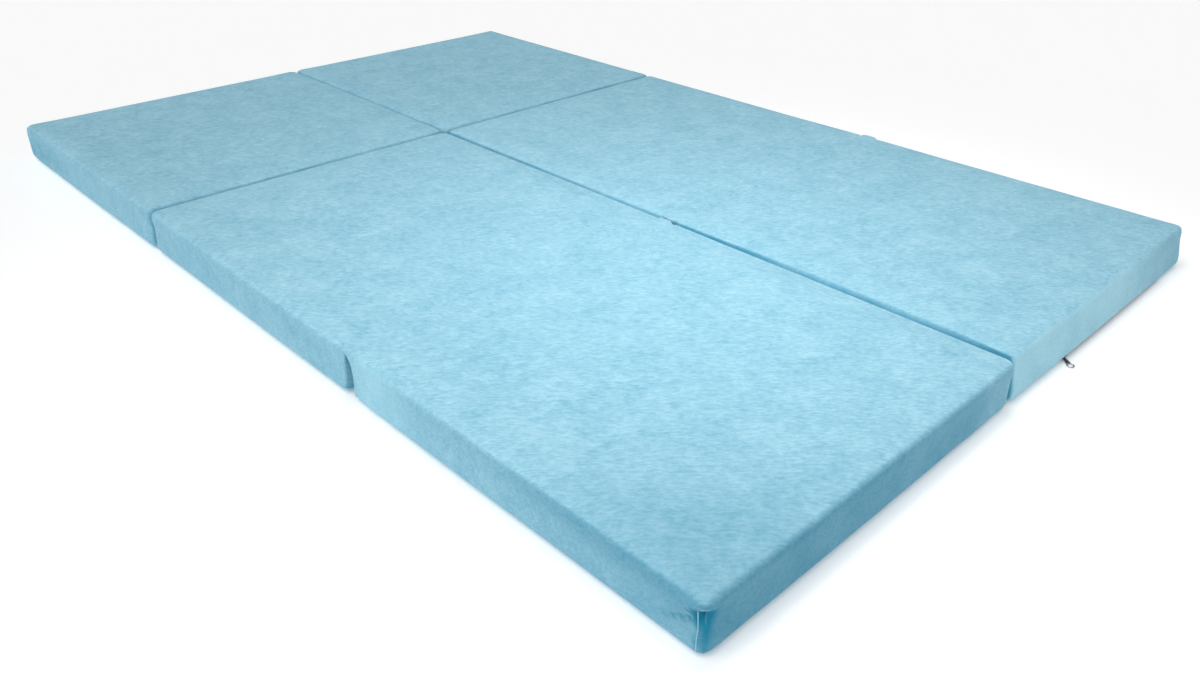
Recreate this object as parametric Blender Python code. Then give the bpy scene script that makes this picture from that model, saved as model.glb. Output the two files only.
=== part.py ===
"""Folding foam mat: six covered foam blocks, two columns by three rows, joined by fabric webs.

Metres, +Z up. X runs across the two columns and Y along the three rows, from the near row to the
far row. The origin is on the floor, under the middle of the mat. Each block is a foam core in a
cover of two trays: a deep one with the top and the walls, and a shallow one underneath. The near
right block's cover opens by a zip along the rounded bottom edge of its near wall.
"""

import math

import bmesh
import bpy
from mathutils import Matrix, Vector

# Blocks and the spaces between them
BLOCK_WIDTH = 0.645
BLOCK_LENGTH = 0.645
THICKNESS = 0.080
COLUMN_GAP = 0.010
ROW_GAP = 0.0075
CORNER_RADIUS = 0.024
TOP_EDGE_RADIUS = 0.009
BOTTOM_EDGE_RADIUS = 0.018
EDGE_SEGMENTS = 3  # odd, so that one flat of each rounded edge faces out at 45 degrees

# Cover
FABRIC = 0.0015
SEAM_ABOVE_EDGE = 0.006  # from the end of the rounded bottom edge up to the seam between the trays
CLEARANCE = 0.0003
FOLD_OFFSET = 0.0005  # from a face of the mat out to the fold axis of the web on it

# Zip
ZIP_INNER_MARGIN = 0.170  # from the side of the block at the other column to the end of the zip
ZIP_OUTER_MARGIN = 0.085  # from the outer side of the block to the end of the zip
CHAIN_WIDTH = 0.005
CHAIN_DEPTH = 0.0009
CHAIN_HEIGHT = 0.0016
TAPE_WIDTH = 0.0016
TAPE_THICKNESS = 0.0008
TAPE_DEPTH = 0.0004
STOP_LENGTH = 0.003
STOP_OVERHANG = 0.0005

# Zip slider, with its pull and ring
SLIDER_LENGTH = 0.013
SLIDER_PLATE = 0.0010
SLIDER_FLANGE = 0.0012
BRIDGE_LENGTH = 0.0092
BRIDGE_BAR = 0.0009
EYE_LENGTH = 0.004
EYE_INNER_RADIUS = 0.00095
EYE_OUTER_RADIUS = 0.0017
PULL_THICKNESS = 0.0014
PULL_REACH = 0.0115  # from the bridge to the ring's wire
PULL_SWING = math.radians(-10)  # how far the pull lies turned from square to the zip
RING_RADIUS = 0.0048
RING_WIRE_RADIUS = 0.0008
RING_EYE_RADIUS = 0.0015

COLUMNS = {"left": -1, "right": 1}
ROWS = {"near": -1, "middle": 0, "far": 1}

# Linear colour, roughness and metallic value of each finish
FINISHES = {
    "velour": ((0.33, 0.66, 0.78), 0.95, 0.0),
    "web_fabric": ((0.28, 0.60, 0.73), 0.95, 0.0),
    "foam": ((0.86, 0.83, 0.72), 0.90, 0.0),
    "zip_tape": ((0.20, 0.46, 0.58), 0.85, 0.0),
    "zip_coil": ((0.02, 0.02, 0.02), 0.45, 0.0),
    "black_enamel": ((0.012, 0.013, 0.015), 0.30, 0.8),
    "nickel": ((0.62, 0.61, 0.59), 0.22, 1.0),
}


def clear_scene():
    for obj in list(bpy.data.objects):
        bpy.data.objects.remove(obj, do_unlink=True)


def make_material(node, finish):
    colour, roughness, metallic = FINISHES[finish]
    material = bpy.data.materials.new(f"{finish}_{node}")
    material.use_nodes = True
    shader = material.node_tree.nodes["Principled BSDF"]
    shader.inputs["Base Color"].default_value = (*colour, 1.0)
    shader.inputs["Roughness"].default_value = roughness
    shader.inputs["Metallic"].default_value = metallic
    return material


def make_empty(name, place, parent=None):
    empty = bpy.data.objects.new(name, None)
    bpy.context.collection.objects.link(empty)
    empty.empty_display_size = 0.05
    empty.location = place
    keep_place_under(empty, parent)
    return empty


def keep_place_under(obj, parent):
    """Parents obj without moving it, so that its own location stays in the mat's frame."""
    bpy.context.view_layer.update()
    if parent:
        obj.parent = parent
        obj.matrix_parent_inverse = parent.matrix_world.inverted()


def make_object(name, bm, place, parent, finish=None):
    """Turns bm into a node at the matrix place, or into a hidden helper if it has no finish."""
    bmesh.ops.recalc_face_normals(bm, faces=bm.faces[:])
    mesh = bpy.data.meshes.new(name)
    bm.to_mesh(mesh)
    bm.free()
    obj = bpy.data.objects.new(name, mesh)
    bpy.context.collection.objects.link(obj)
    obj.matrix_world = place
    if finish:
        mesh.materials.append(make_material(name, finish))
        mesh.shade_smooth()
        mesh.set_sharp_from_angle(angle=math.radians(40))
    else:
        obj.hide_render = True
        obj.display_type = "WIRE"
    keep_place_under(obj, parent)
    return obj


def add_boolean(obj, other, operation):
    modifier = obj.modifiers.new(operation.lower(), "BOOLEAN")
    modifier.operation = operation
    modifier.object = other
    modifier.solver = "EXACT"


def box(low, high):
    """A box between two opposite corners."""
    bm = bmesh.new()
    size = Vector(high) - Vector(low)
    middle = (Vector(high) + Vector(low)) / 2
    bmesh.ops.create_cube(bm, size=1.0, matrix=Matrix.Translation(middle) @ Matrix.Diagonal((*size, 1)))
    return bm


def extruded(outline, direction):
    """A prism on a closed outline of points."""
    bm = bmesh.new()
    face = bm.faces.new([bm.verts.new(point) for point in outline])
    made = bmesh.ops.extrude_face_region(bm, geom=[face])
    top = [element for element in made["geom"] if isinstance(element, bmesh.types.BMVert)]
    bmesh.ops.translate(bm, verts=top, vec=direction)
    return bm


def bevel(bm, edges, radius):
    bmesh.ops.bevel(
        bm, geom=edges, offset=radius, segments=EDGE_SEGMENTS, profile=0.5, affect="EDGES"
    )


def level_edges(bm, height):
    """The edges that lie wholly at one height."""
    return [e for e in bm.edges if all(abs(v.co.z - height) < 1e-6 for v in e.verts)]


def rounded_block(inset):
    """A block with rounded corners and edges, standing on z = 0, shrunk by inset all round."""
    low = Vector((-BLOCK_WIDTH / 2 + inset, -BLOCK_LENGTH / 2 + inset, inset))
    high = Vector((BLOCK_WIDTH / 2 - inset, BLOCK_LENGTH / 2 - inset, THICKNESS - inset))
    bm = box(low, high)
    upright = [e for e in bm.edges if abs(e.verts[0].co.z - e.verts[1].co.z) > THICKNESS / 2]
    bevel(bm, upright, CORNER_RADIUS - inset)
    bevel(bm, level_edges(bm, high.z), TOP_EDGE_RADIUS - inset)
    bevel(bm, level_edges(bm, low.z), BOTTOM_EDGE_RADIUS - inset)
    return bm


def tray(height, keep_above):
    """The part of a block's skin above or below a height, open where it is cut."""
    bm = rounded_block(0.0)
    bmesh.ops.bisect_plane(
        bm,
        geom=bm.verts[:] + bm.edges[:] + bm.faces[:],
        plane_co=(0, 0, height),
        plane_no=(0, 0, 1),
        clear_inner=keep_above,
        clear_outer=not keep_above,
    )
    return bm


def thicken(obj):
    """Gives a tray its fabric, from its outer face inwards."""
    modifier = obj.modifiers.new("fabric", "SOLIDIFY")
    modifier.thickness = FABRIC
    modifier.offset = -1.0
    modifier.use_even_offset = True


def block_centre(row, column):
    """The point under the middle of a block."""
    x = COLUMNS[column] * (BLOCK_WIDTH + COLUMN_GAP) / 2
    y = ROWS[row] * (BLOCK_LENGTH + ROW_GAP)
    return Vector((x, y, 0))


def make_axes():
    """One empty for each body, on its fold axis. The middle left block carries the rest."""
    row_step = (BLOCK_LENGTH + ROW_GAP) / 2
    over = THICKNESS + FOLD_OFFSET
    x_left = block_centre("middle", "left").x
    x_right = block_centre("middle", "right").x
    axes = {"middle_left": make_empty("body_middle_left", block_centre("middle", "left"))}
    folds = (
        ("near_left", "middle_left", (x_left, -row_step, over)),
        ("near_right", "near_left", (0, block_centre("near", "left").y, -FOLD_OFFSET)),
        ("middle_right", "near_right", (x_right, -row_step, over)),
        ("far_right", "middle_right", (x_right, row_step, -FOLD_OFFSET)),
        ("far_left", "middle_left", (x_left, row_step, -FOLD_OFFSET)),
    )
    for name, parent, place in folds:
        axes[name] = make_empty(f"fold_{name}", place, axes[parent])
    return axes


def make_blocks(axes):
    """Foam core, cover and base of each block. Returns the bases by block name."""
    seam = BOTTOM_EDGE_RADIUS + SEAM_ABOVE_EDGE
    bases = {}
    for row in ROWS:
        for column in COLUMNS:
            name = f"{row}_{column}"
            place = Matrix.Translation(block_centre(row, column))
            make_object(f"foam_{name}", rounded_block(FABRIC + CLEARANCE), place, axes[name], "foam")
            cover = tray(seam + CLEARANCE / 2, keep_above=True)
            thicken(make_object(f"cover_{name}", cover, place, axes[name], "velour"))
            base = tray(seam - CLEARANCE / 2, keep_above=False)
            bases[name] = make_object(f"base_{name}", base, place, axes[name], "velour")
            thicken(bases[name])
    return bases


def web_reach(edge_radius):
    """How far a flat web can lie over a rounded edge of this radius and stay clear of it."""
    level = edge_radius - FABRIC - CLEARANCE
    return edge_radius - math.sqrt(edge_radius**2 - level**2)


def make_row_web(name, column, row_sign, on_top, parent):
    """The stretch of fabric that joins two rows of one column, on the top or underneath."""
    half = ROW_GAP / 2 + web_reach(TOP_EDGE_RADIUS if on_top else BOTTOM_EDGE_RADIUS)
    x = block_centre("middle", column).x
    y = row_sign * (BLOCK_LENGTH + ROW_GAP) / 2
    low_z = THICKNESS - FABRIC if on_top else 0.0
    half_x = BLOCK_WIDTH / 2 - CORNER_RADIUS
    bm = box((x - half_x, y - half, low_z), (x + half_x, y + half, low_z + FABRIC))
    make_object(name, bm, Matrix(), parent, "web_fabric")


def make_webs(axes):
    for column in COLUMNS:
        parent = axes[f"middle_{column}"]
        make_row_web(f"top_web_{column}", column, ROWS["near"], True, parent)
        make_row_web(f"bottom_web_{column}", column, ROWS["far"], False, parent)
    half = COLUMN_GAP / 2 + web_reach(BOTTOM_EDGE_RADIUS)
    y = block_centre("near", "left").y
    half_y = BLOCK_LENGTH / 2 - CORNER_RADIUS
    bm = box((-half, y - half_y, 0), (half, y + half_y, FABRIC))
    make_object("column_web", bm, Matrix(), axes["near_left"], "web_fabric")


def zip_half_length():
    return (BLOCK_WIDTH - ZIP_INNER_MARGIN - ZIP_OUTER_MARGIN) / 2


def zip_frame():
    """The zip's middle, with X along it, Y up the 45-degree flat of the bottom edge and Z out of it."""
    centre = block_centre("near", "right")
    along = centre.x + (ZIP_INNER_MARGIN - ZIP_OUTER_MARGIN) / 2
    apothem = BOTTOM_EDGE_RADIUS * math.cos(math.pi / 4 / EDGE_SEGMENTS)
    in_from_face = BOTTOM_EDGE_RADIUS - apothem * math.cos(math.pi / 4)
    place = Vector((along, centre.y - BLOCK_LENGTH / 2 + in_from_face, in_from_face))
    return Matrix.Translation(place) @ Matrix.Rotation(math.radians(135), 4, "X")


def make_zip(frame, parent, base):
    """Slot in the base, two tapes, the closed chain and its end stops."""
    half_length = zip_half_length()
    half_chain = CHAIN_WIDTH / 2
    tape_inner = half_chain + CLEARANCE
    tape_outer = tape_inner + TAPE_WIDTH
    slot_low = Vector((-half_length - CLEARANCE, -tape_outer - CLEARANCE, -3 * FABRIC))
    slot_high = Vector((half_length + CLEARANCE, tape_outer + CLEARANCE, 3 * FABRIC))
    slot = make_object("cutter_zip_slot", box(slot_low, slot_high), frame, parent)
    add_boolean(base, slot, "DIFFERENCE")
    tape_low = -TAPE_DEPTH - TAPE_THICKNESS
    for name, side in (("upper", 1), ("lower", -1)):
        y_low, y_high = sorted((side * tape_inner, side * tape_outer))
        bm = box((-half_length, y_low, tape_low), (half_length, y_high, -TAPE_DEPTH))
        make_object(f"zip_tape_{name}", bm, frame, parent, "zip_tape")
    half_run = half_length - STOP_LENGTH - CLEARANCE
    chain = box((-half_run, -half_chain, -CHAIN_DEPTH), (half_run, half_chain, CHAIN_HEIGHT))
    make_object("zip_chain", chain, frame, parent, "zip_coil")
    for name, side in (("inner", -1), ("outer", 1)):
        x_low, x_high = sorted((side * half_length, side * (half_length - STOP_LENGTH)))
        top = CHAIN_HEIGHT + STOP_OVERHANG
        stop = box((x_low, -half_chain, -CHAIN_DEPTH), (x_high, half_chain, top))
        make_object(f"zip_stop_{name}", stop, frame, parent, "nickel")


def slider_frame(frame):
    """The slider's own frame, parked beside the stop nearest the other column."""
    from_middle = zip_half_length() - STOP_LENGTH - CLEARANCE - SLIDER_LENGTH / 2
    return frame @ Matrix.Translation((-from_middle, 0, 0))


def bridge_height():
    """From the 45-degree flat out to the bridge's bar, which the pull's eye turns on."""
    return CHAIN_HEIGHT + CLEARANCE + SLIDER_PLATE + CLEARANCE + EYE_OUTER_RADIUS


def make_slider(frame, parent):
    """A plate over the chain with a flange down each side, and a bridge for the pull."""
    inner = CHAIN_WIDTH / 2 + CLEARANCE
    outer = inner + SLIDER_FLANGE
    foot = CLEARANCE - TAPE_DEPTH
    under = CHAIN_HEIGHT + CLEARANCE
    top = under + SLIDER_PLATE
    half = SLIDER_LENGTH / 2
    section = (
        (-outer, foot), (-inner, foot), (-inner, under), (inner, under),
        (inner, foot), (outer, foot), (outer, top), (-outer, top),
    )
    body = extruded([(-half, y, z) for y, z in section], (SLIDER_LENGTH, 0, 0))
    slider = make_object("zip_slider", body, frame, parent, "black_enamel")
    reach = BRIDGE_LENGTH / 2
    leg = reach - BRIDGE_BAR
    low = under + SLIDER_PLATE / 2
    bar_low = bridge_height() - BRIDGE_BAR / 2
    bar_high = bridge_height() + BRIDGE_BAR / 2
    arch = (
        (-reach, low), (-leg, low), (-leg, bar_low), (leg, bar_low),
        (leg, low), (reach, low), (reach, bar_high), (-reach, bar_high),
    )
    bridge = extruded([(x, -BRIDGE_BAR / 2, z) for x, z in arch], (0, BRIDGE_BAR, 0))
    helper = make_object("helper_slider_bridge", bridge, frame, slider)
    add_boolean(slider, helper, "UNION")
    return slider


def round_points(centre_y, radius, first, last, steps):
    """Points on an arc in the YZ plane, from the angle first to the angle last in degrees."""
    points = []
    for step in range(steps + 1):
        angle = math.radians(first + (last - first) * step / steps)
        points.append((centre_y + radius * math.cos(angle), radius * math.sin(angle)))
    return points


def eye_cutter(name, radius, frame, parent):
    """A rod along the frame's X."""
    bm = bmesh.new()
    turn = Matrix.Rotation(math.radians(90), 4, "Y")
    bmesh.ops.create_cone(
        bm, cap_ends=True, segments=12, radius1=radius, radius2=radius, depth=4 * EYE_LENGTH, matrix=turn
    )
    return make_object(name, bm, frame, parent)


def make_pull(slider_place, slider):
    """A link with an eye at each end: one turns on the bridge and the other holds the ring."""
    centre = slider_place @ Vector((0, 0, bridge_height()))
    ring_bottom = centre.z - RING_WIRE_RADIUS - CLEARANCE
    droop = math.asin(ring_bottom / (PULL_REACH + RING_RADIUS * 2))
    turn = Matrix.Rotation(PULL_SWING, 4, "Z") @ Matrix.Rotation(droop, 4, "X")
    frame = Matrix.Translation(centre) @ turn
    waist = math.degrees(math.asin(PULL_THICKNESS / 2 / EYE_OUTER_RADIUS))
    outline = round_points(0, EYE_OUTER_RADIUS, 180 + waist, 540 - waist, 10)
    waist = math.degrees(math.asin(PULL_THICKNESS / 2 / RING_EYE_RADIUS))
    outline += round_points(-PULL_REACH, RING_EYE_RADIUS, waist, 360 - waist, 10)
    body = extruded([(-EYE_LENGTH / 2, y, z) for y, z in outline], (EYE_LENGTH, 0, 0))
    pull = make_object("zip_pull", body, frame, slider, "black_enamel")
    along_bridge = Matrix.Translation(centre)
    bridge_hole = eye_cutter("cutter_bridge_eye", EYE_INNER_RADIUS, along_bridge, pull)
    add_boolean(pull, bridge_hole, "DIFFERENCE")
    return pull, frame


def make_ring(pull, frame):
    """The finger ring, through a groove cut round its wire in the pull's outer end."""
    centre = frame @ Matrix.Translation((0, -PULL_REACH - RING_RADIUS, 0))
    for name, wire, finish in (
        ("zip_ring", RING_WIRE_RADIUS, "nickel"),
        ("cutter_ring_groove", RING_WIRE_RADIUS + CLEARANCE, None),
    ):
        bm = bmesh.new()
        start = Matrix.Translation((RING_RADIUS, 0, 0)) @ Matrix.Rotation(math.radians(90), 4, "X")
        circle = bmesh.ops.create_circle(bm, segments=8, radius=wire, matrix=start)
        edges = list({edge for vert in circle["verts"] for edge in vert.link_edges})
        bmesh.ops.spin(
            bm, geom=circle["verts"] + edges, cent=(0, 0, 0), axis=(0, 0, 1),
            angle=math.tau, steps=24, use_merge=True,
        )
        made = make_object(name, bm, centre, pull, finish)
    add_boolean(pull, made, "DIFFERENCE")


def main():
    clear_scene()
    axes = make_axes()
    bases = make_blocks(axes)
    make_webs(axes)
    frame = zip_frame()
    make_zip(frame, axes["near_right"], bases["near_right"])
    slider_place = slider_frame(frame)
    slider = make_slider(slider_place, axes["near_right"])
    pull, pull_frame = make_pull(slider_place, slider)
    make_ring(pull, pull_frame)


main()
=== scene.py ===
import math

import bpy
import numpy as np
from mathutils import Matrix, Vector, noise


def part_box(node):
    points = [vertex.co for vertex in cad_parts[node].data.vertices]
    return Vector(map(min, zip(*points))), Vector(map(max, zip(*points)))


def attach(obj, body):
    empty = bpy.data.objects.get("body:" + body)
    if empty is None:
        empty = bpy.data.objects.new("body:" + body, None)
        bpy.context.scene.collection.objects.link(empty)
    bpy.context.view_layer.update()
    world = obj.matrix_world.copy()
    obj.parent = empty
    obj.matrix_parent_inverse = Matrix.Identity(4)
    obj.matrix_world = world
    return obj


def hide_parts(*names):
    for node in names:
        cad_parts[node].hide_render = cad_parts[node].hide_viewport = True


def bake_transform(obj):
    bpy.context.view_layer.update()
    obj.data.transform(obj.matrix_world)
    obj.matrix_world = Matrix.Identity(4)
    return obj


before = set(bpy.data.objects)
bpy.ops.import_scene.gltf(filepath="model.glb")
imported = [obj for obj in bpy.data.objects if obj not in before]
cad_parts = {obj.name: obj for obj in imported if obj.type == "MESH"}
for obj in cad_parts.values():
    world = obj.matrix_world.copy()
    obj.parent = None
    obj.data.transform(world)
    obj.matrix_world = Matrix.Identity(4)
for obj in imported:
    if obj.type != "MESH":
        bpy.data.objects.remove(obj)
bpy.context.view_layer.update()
print("frame loaded")


# the lowest and highest corner of some nodes together
def nodeBox(*nodes):
    boxes = [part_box(node) for node in nodes]
    low = Vector([min(box[0][axis] for box in boxes) for axis in range(3)])
    high = Vector([max(box[1][axis] for box in boxes) for axis in range(3)])
    return low, high


# rows run along Y and columns along X, as seen from the camera, and the mat lies on Z = 0
blockBox = {}
for row in ("near", "middle", "far"):
    for column in ("left", "right"):
        block = f"{row}_{column}"
        blockBox[block] = nodeBox(f"cover_{block}", f"base_{block}")
matLow, matHigh = nodeBox(*[f"{part}_{block}" for part in ("cover", "base") for block in blockBox])
height = matHigh.z
nearJointY = (blockBox["near_left"][1].y + blockBox["middle_left"][0].y) / 2
farJointY = (blockBox["middle_left"][1].y + blockBox["far_left"][0].y) / 2
columnX = (blockBox["near_left"][1].x + blockBox["near_right"][0].x) / 2


# an sRGB hex colour as the linear RGBA that sockets take
def fromHex(text):
    parts = [int(text[i : i + 2], 16) / 255 for i in (1, 3, 5)]
    linear = [c / 12.92 if c <= 0.04045 else ((c + 0.055) / 1.055) ** 2.4 for c in parts]
    return (*linear, 1.0)


def deselectAll():
    for obj in bpy.context.selected_objects:
        obj.select_set(False)


def makeActive(obj):
    deselectAll()
    obj.select_set(True)
    bpy.context.view_layer.objects.active = obj


def applyPlace():
    bpy.ops.object.transform_apply(location=True, rotation=True, scale=True)


# applies the place and then the modifiers, so that the finished mesh says it all
def applyAll(obj):
    makeActive(obj)
    applyPlace()
    for modifier in list(obj.modifiers):
        bpy.ops.object.modifier_apply(modifier=modifier.name)


def readPoints(obj):
    points = np.empty(len(obj.data.vertices) * 3, np.float64)
    obj.data.vertices.foreach_get("co", points)
    return points.reshape(-1, 3)


def readNormals(obj):
    normals = np.empty(len(obj.data.vertices) * 3)
    obj.data.vertices.foreach_get("normal", normals)
    return normals.reshape(-1, 3)


def writePoints(obj, points):
    obj.data.vertices.foreach_set("co", points.astype(np.float32).ravel())
    obj.data.update()


def setMaterial(obj, material):
    obj.data.materials.clear()
    obj.data.materials.append(material)


def smoothStep(value, start, end):
    t = np.clip((value - start) / (end - start), 0, 1)
    return t * t * (3 - 2 * t)


def bell(distance, width):
    return np.exp(-((distance / width) ** 2))


# smooth noise about zero at each point, size is its wavelength in metres
def noiseAt(points, size, seed):
    shift = Vector((seed, 0, 0))
    return np.array([noise.noise(Vector(point * (1 / size)) + shift) for point in points])


# adds a node, sets its properties and sockets, and links its inputs
def addNode(tree, kind, settings=None, **links):
    node = tree.nodes.new(kind)
    for key, value in (settings or {}).items():
        if isinstance(key, int) or key in node.inputs:
            node.inputs[key].default_value = value
        else:
            setattr(node, key, value)
    for key, value in links.items():
        tree.links.new(value, node.inputs[key.replace("_", " ")])
    return node


# a new material, with its tree, its shader and the piece's own coordinates
def startMaterial(name):
    material = bpy.data.materials.new(name)
    material.use_nodes = True
    tree = material.node_tree
    place = addNode(tree, "ShaderNodeTexCoord").outputs["Object"]
    return material, tree, tree.nodes["Principled BSDF"], place


# crushed polyester velour: a short cut pile, matt, a little paler at glancing angles
velourLook = {
    "light": "#AAD7E7",
    "dark": "#7AB4CB",
    "paintedShade": "#1A80A0",  # painted shade for folds, creases, the gaps, the slit and the walls turned from the light, deep and saturated
    "paintedLight": "#B9ECFB",  # painted light for walls that the lamps leave too dark and for the gap's rim, pale
    "brushAngle": -44,  # degrees from the mat's width
    "tuftLength": 3,  # how many times longer than wide the crushed tufts are
    "bumpStrength": 0.3,
    "bumpDepth": 0.0009,  # metres
    "roughness": 0.95,
    "specular": 0.1,
    "sheen": 0.14,
    "sheenRoughness": 0.5,
    "sheenTint": "#E4F6FB",
    # size in metres, detail, roughness, distortion, half the noise's range, share of the colour
    "layers": {
        "clouds": (0.070, 4, 0.6, 0.4, 0.16, 0.26),  # where the pile lies another way
        "blotches": (0.019, 5, 0.62, 0.5, 0.17, 0.30),  # brushed marks, a finger wide
        "tufts": (0.0034, 3, 0.6, 0.2, 0.15, 0.52),  # crushed tufts
        "pile": (0.0014, 2, 0.5, 0.0, 0.22, 0.22),  # coarser than its real 0.3 mm, to show
    },
}


def makeVelour(name, look):
    material, tree, shader, place = startMaterial(name)
    # the pile is brushed askew to the mat's sides, so its tufts are longer that way
    brushedWay = addNode(
        tree, "ShaderNodeMapping",
        {"vector_type": "TEXTURE", "Rotation": (0, 0, math.radians(look["brushAngle"])),
         "Scale": (look["tuftLength"], 1, 1)},
        Vector=place,
    ).outputs[0]
    total = None
    heights = {}
    for layer, settings in look["layers"].items():
        size, detail, roughness, distortion, spread, share = settings
        heights[layer] = addNode(
            tree, "ShaderNodeTexNoise",
            {"Scale": 1 / size, "Detail": detail, "Roughness": roughness,
             "Distortion": distortion},
            Vector=brushedWay if layer == "tufts" else place,
        ).outputs["Fac"]
        level = addNode(
            tree, "ShaderNodeMapRange",
            {"From Min": 0.5 - spread, "From Max": 0.5 + spread,
             "To Min": -share / 2, "To Max": share / 2},
            Value=heights[layer],
        ).outputs["Result"]
        adder = addNode(tree, "ShaderNodeMath", {"operation": "ADD", 1: 0.5})
        tree.links.new(level, adder.inputs[0])
        if total is not None:
            tree.links.new(total, adder.inputs[1])
        total = adder.outputs[0]
    ground = addNode(tree, "ShaderNodeMix", {"data_type": "RGBA", 6: fromHex(look["dark"]),
                                             7: fromHex(look["light"])})
    tree.links.new(total, ground.inputs[0])
    colour = ground.outputs[2]
    # painted shade and painted light laid over the ground colour, as much as each point's attribute
    # says
    for layer in ("paintedShade", "paintedLight"):
        amount = addNode(tree, "ShaderNodeAttribute", {"attribute_name": layer + "Pile"})
        blend = addNode(tree, "ShaderNodeMix", {"data_type": "RGBA", 7: fromHex(look[layer])})
        tree.links.new(amount.outputs["Fac"], blend.inputs[0])
        tree.links.new(colour, blend.inputs[6])
        colour = blend.outputs[2]
    tree.links.new(colour, shader.inputs["Base Color"])
    relief = addNode(tree, "ShaderNodeMath", {"operation": "MULTIPLY_ADD", 1: 0.5})
    tree.links.new(heights["tufts"], relief.inputs[0])
    tree.links.new(heights["pile"], relief.inputs[2])
    bump = addNode(tree, "ShaderNodeBump",
                   {"Strength": look["bumpStrength"], "Distance": look["bumpDepth"]},
                   Height=relief.outputs[0])
    tree.links.new(bump.outputs["Normal"], shader.inputs["Normal"])
    shader.inputs["Roughness"].default_value = look["roughness"]
    shader.inputs["Specular IOR Level"].default_value = look["specular"]
    shader.inputs["Sheen Weight"].default_value = look["sheen"]
    shader.inputs["Sheen Roughness"].default_value = look["sheenRoughness"]
    shader.inputs["Sheen Tint"].default_value = fromHex(look["sheenTint"])
    return material


# a finish with a grain in its colour and surface: grain is its size and depth its relief
def makePlain(name, colour, tint, grain, depth=0.00005, **sockets):
    material, tree, shader, place = startMaterial(name)
    speck = addNode(tree, "ShaderNodeTexNoise", {"Scale": 1 / grain, "Detail": 3.0}, Vector=place)
    mix = addNode(tree, "ShaderNodeMix", {"data_type": "RGBA", 6: fromHex(colour),
                                          7: fromHex(tint)})
    tree.links.new(speck.outputs["Fac"], mix.inputs[0])
    tree.links.new(mix.outputs[2], shader.inputs["Base Color"])
    bump = addNode(tree, "ShaderNodeBump", {"Strength": 0.5, "Distance": depth},
                   Height=speck.outputs["Fac"])
    tree.links.new(bump.outputs["Normal"], shader.inputs["Normal"])
    for key, value in sockets.items():
        shader.inputs[key.replace("_", " ")].default_value = value
    return material


velour = makeVelour("crushedVelour", velourLook)
# polyurethane foam, cut from a block: open cells, cream and quite matt
cutFoam = makePlain("cutPolyurethaneFoam", "#E9E2C6", "#F4EFDC", 0.0016, 0.0006, Roughness=0.95)
# tape woven of dyed polyester: a fine weave, matt
zipTapeCloth = makePlain("wovenPolyesterTape", "#3E8FB0", "#53A4C4", 0.0007, 0.0002,
                         Roughness=0.85)
# drawn nylon thread, wound to a coil: black with a soft shine
coilNylon = makePlain("blackNylonCoil", "#15171A", "#22252A", 0.0005, Roughness=0.4)
# cast zinc under baked enamel: black, smooth and glossy
blackEnamel = makePlain("enamelledZincCasting", "#101216", "#1C2026", 0.0008, 0.00003,
                        Roughness=0.32, Coat_Weight=0.6, Coat_Roughness=0.12)
# steel wire, plated with nickel: bright, with a slightly warm tone
nickelPlate = makePlain("nickelPlatedWire", "#C9C8C4", "#B5B4B0", 0.0009, 0.00002,
                        Roughness=0.2, Metallic=1.0)
print("materials made")

# the zip's own frame: X along it, Y up the 45-degree flat under the edge, Z out of that flat
zipLook = {
    "sink": 0.000247,  # how far, in Y and in Z, its frame lies inside the chain's middle
    "halfSlot": 0.0048,
    "slotDepth": 0.0014,
    "pitch": 0.0015,  # one turn of the coil
    "hem": 0.0010,
    "swing": -38,  # degrees that the tag lies turned from square to the zip
    "tagLength": 0.0125,
    "tagWide": 0.0074,
    "tagNarrow": 0.0050,
    "tagThick": 0.0014,
}
chainLow, chainHigh = nodeBox("zip_chain")
zipOrigin = (chainLow + chainHigh) / 2 + Vector((0, zipLook["sink"], zipLook["sink"]))
zipHalf = (nodeBox("zip_stop_outer")[1].x - nodeBox("zip_stop_inner")[0].x) / 2
zipPlace = Matrix.Translation(zipOrigin) @ Matrix.Rotation(math.radians(135), 4, "X")

coverShape = {
    "outerCorner": 0.014,  # radius of the mat's own four upright corners
    "innerCorner": 0.0045,  # and of the corners where blocks meet
    "topEdge": 0.0055,
    "bottomEdge": 0.009,
    "inset": 0.0010,  # the cover starts this much inside its box, and swells into it
    "voxel": 0.0052,
    "slitHalf": 0.0095,  # half the slit's width at the floor
    "slitNeck": 0.0016,  # and at its top
    "slitTop": 0.010,  # from the top face down to where the slit ends
    "waist": 0.0030,  # how far the outer walls draw in below the top edge
    "fill": 0.95,
}
cloth = {
    "frames": 8,
    "quality": 3,
    "mass": 0.3,
    "stiffness": 30,  # against pulling and pushing
    "shear": 10,
    "bending": 0.3,
    "pressure": 0.80,
    "shrink": -0.012,  # cut 1.2 % larger than the block, so that it has slack
    "outMost": 0.0022,
    "inMost": 0.0008,
}


# rounds the edges whose two ends satisfy chosen
def bevelEdges(block, radius, chosen):
    vertices = block.data.vertices
    for edge in block.data.edges:
        edge.select = chosen(vertices[edge.vertices[0]].co, vertices[edge.vertices[1]].co)
    bpy.ops.object.mode_set(mode="EDIT")
    bpy.ops.mesh.select_mode(type="EDGE")
    bpy.ops.mesh.bevel(offset=radius, segments=4, affect="EDGES")
    bpy.ops.mesh.select_all(action="DESELECT")
    bpy.ops.object.mode_set(mode="OBJECT")


def addBox(low, high):
    bpy.ops.mesh.primitive_cube_add(size=1, location=(Vector(low) + Vector(high)) / 2)
    block = bpy.context.object
    block.scale = Vector(high) - Vector(low)
    applyPlace()
    return block


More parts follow.
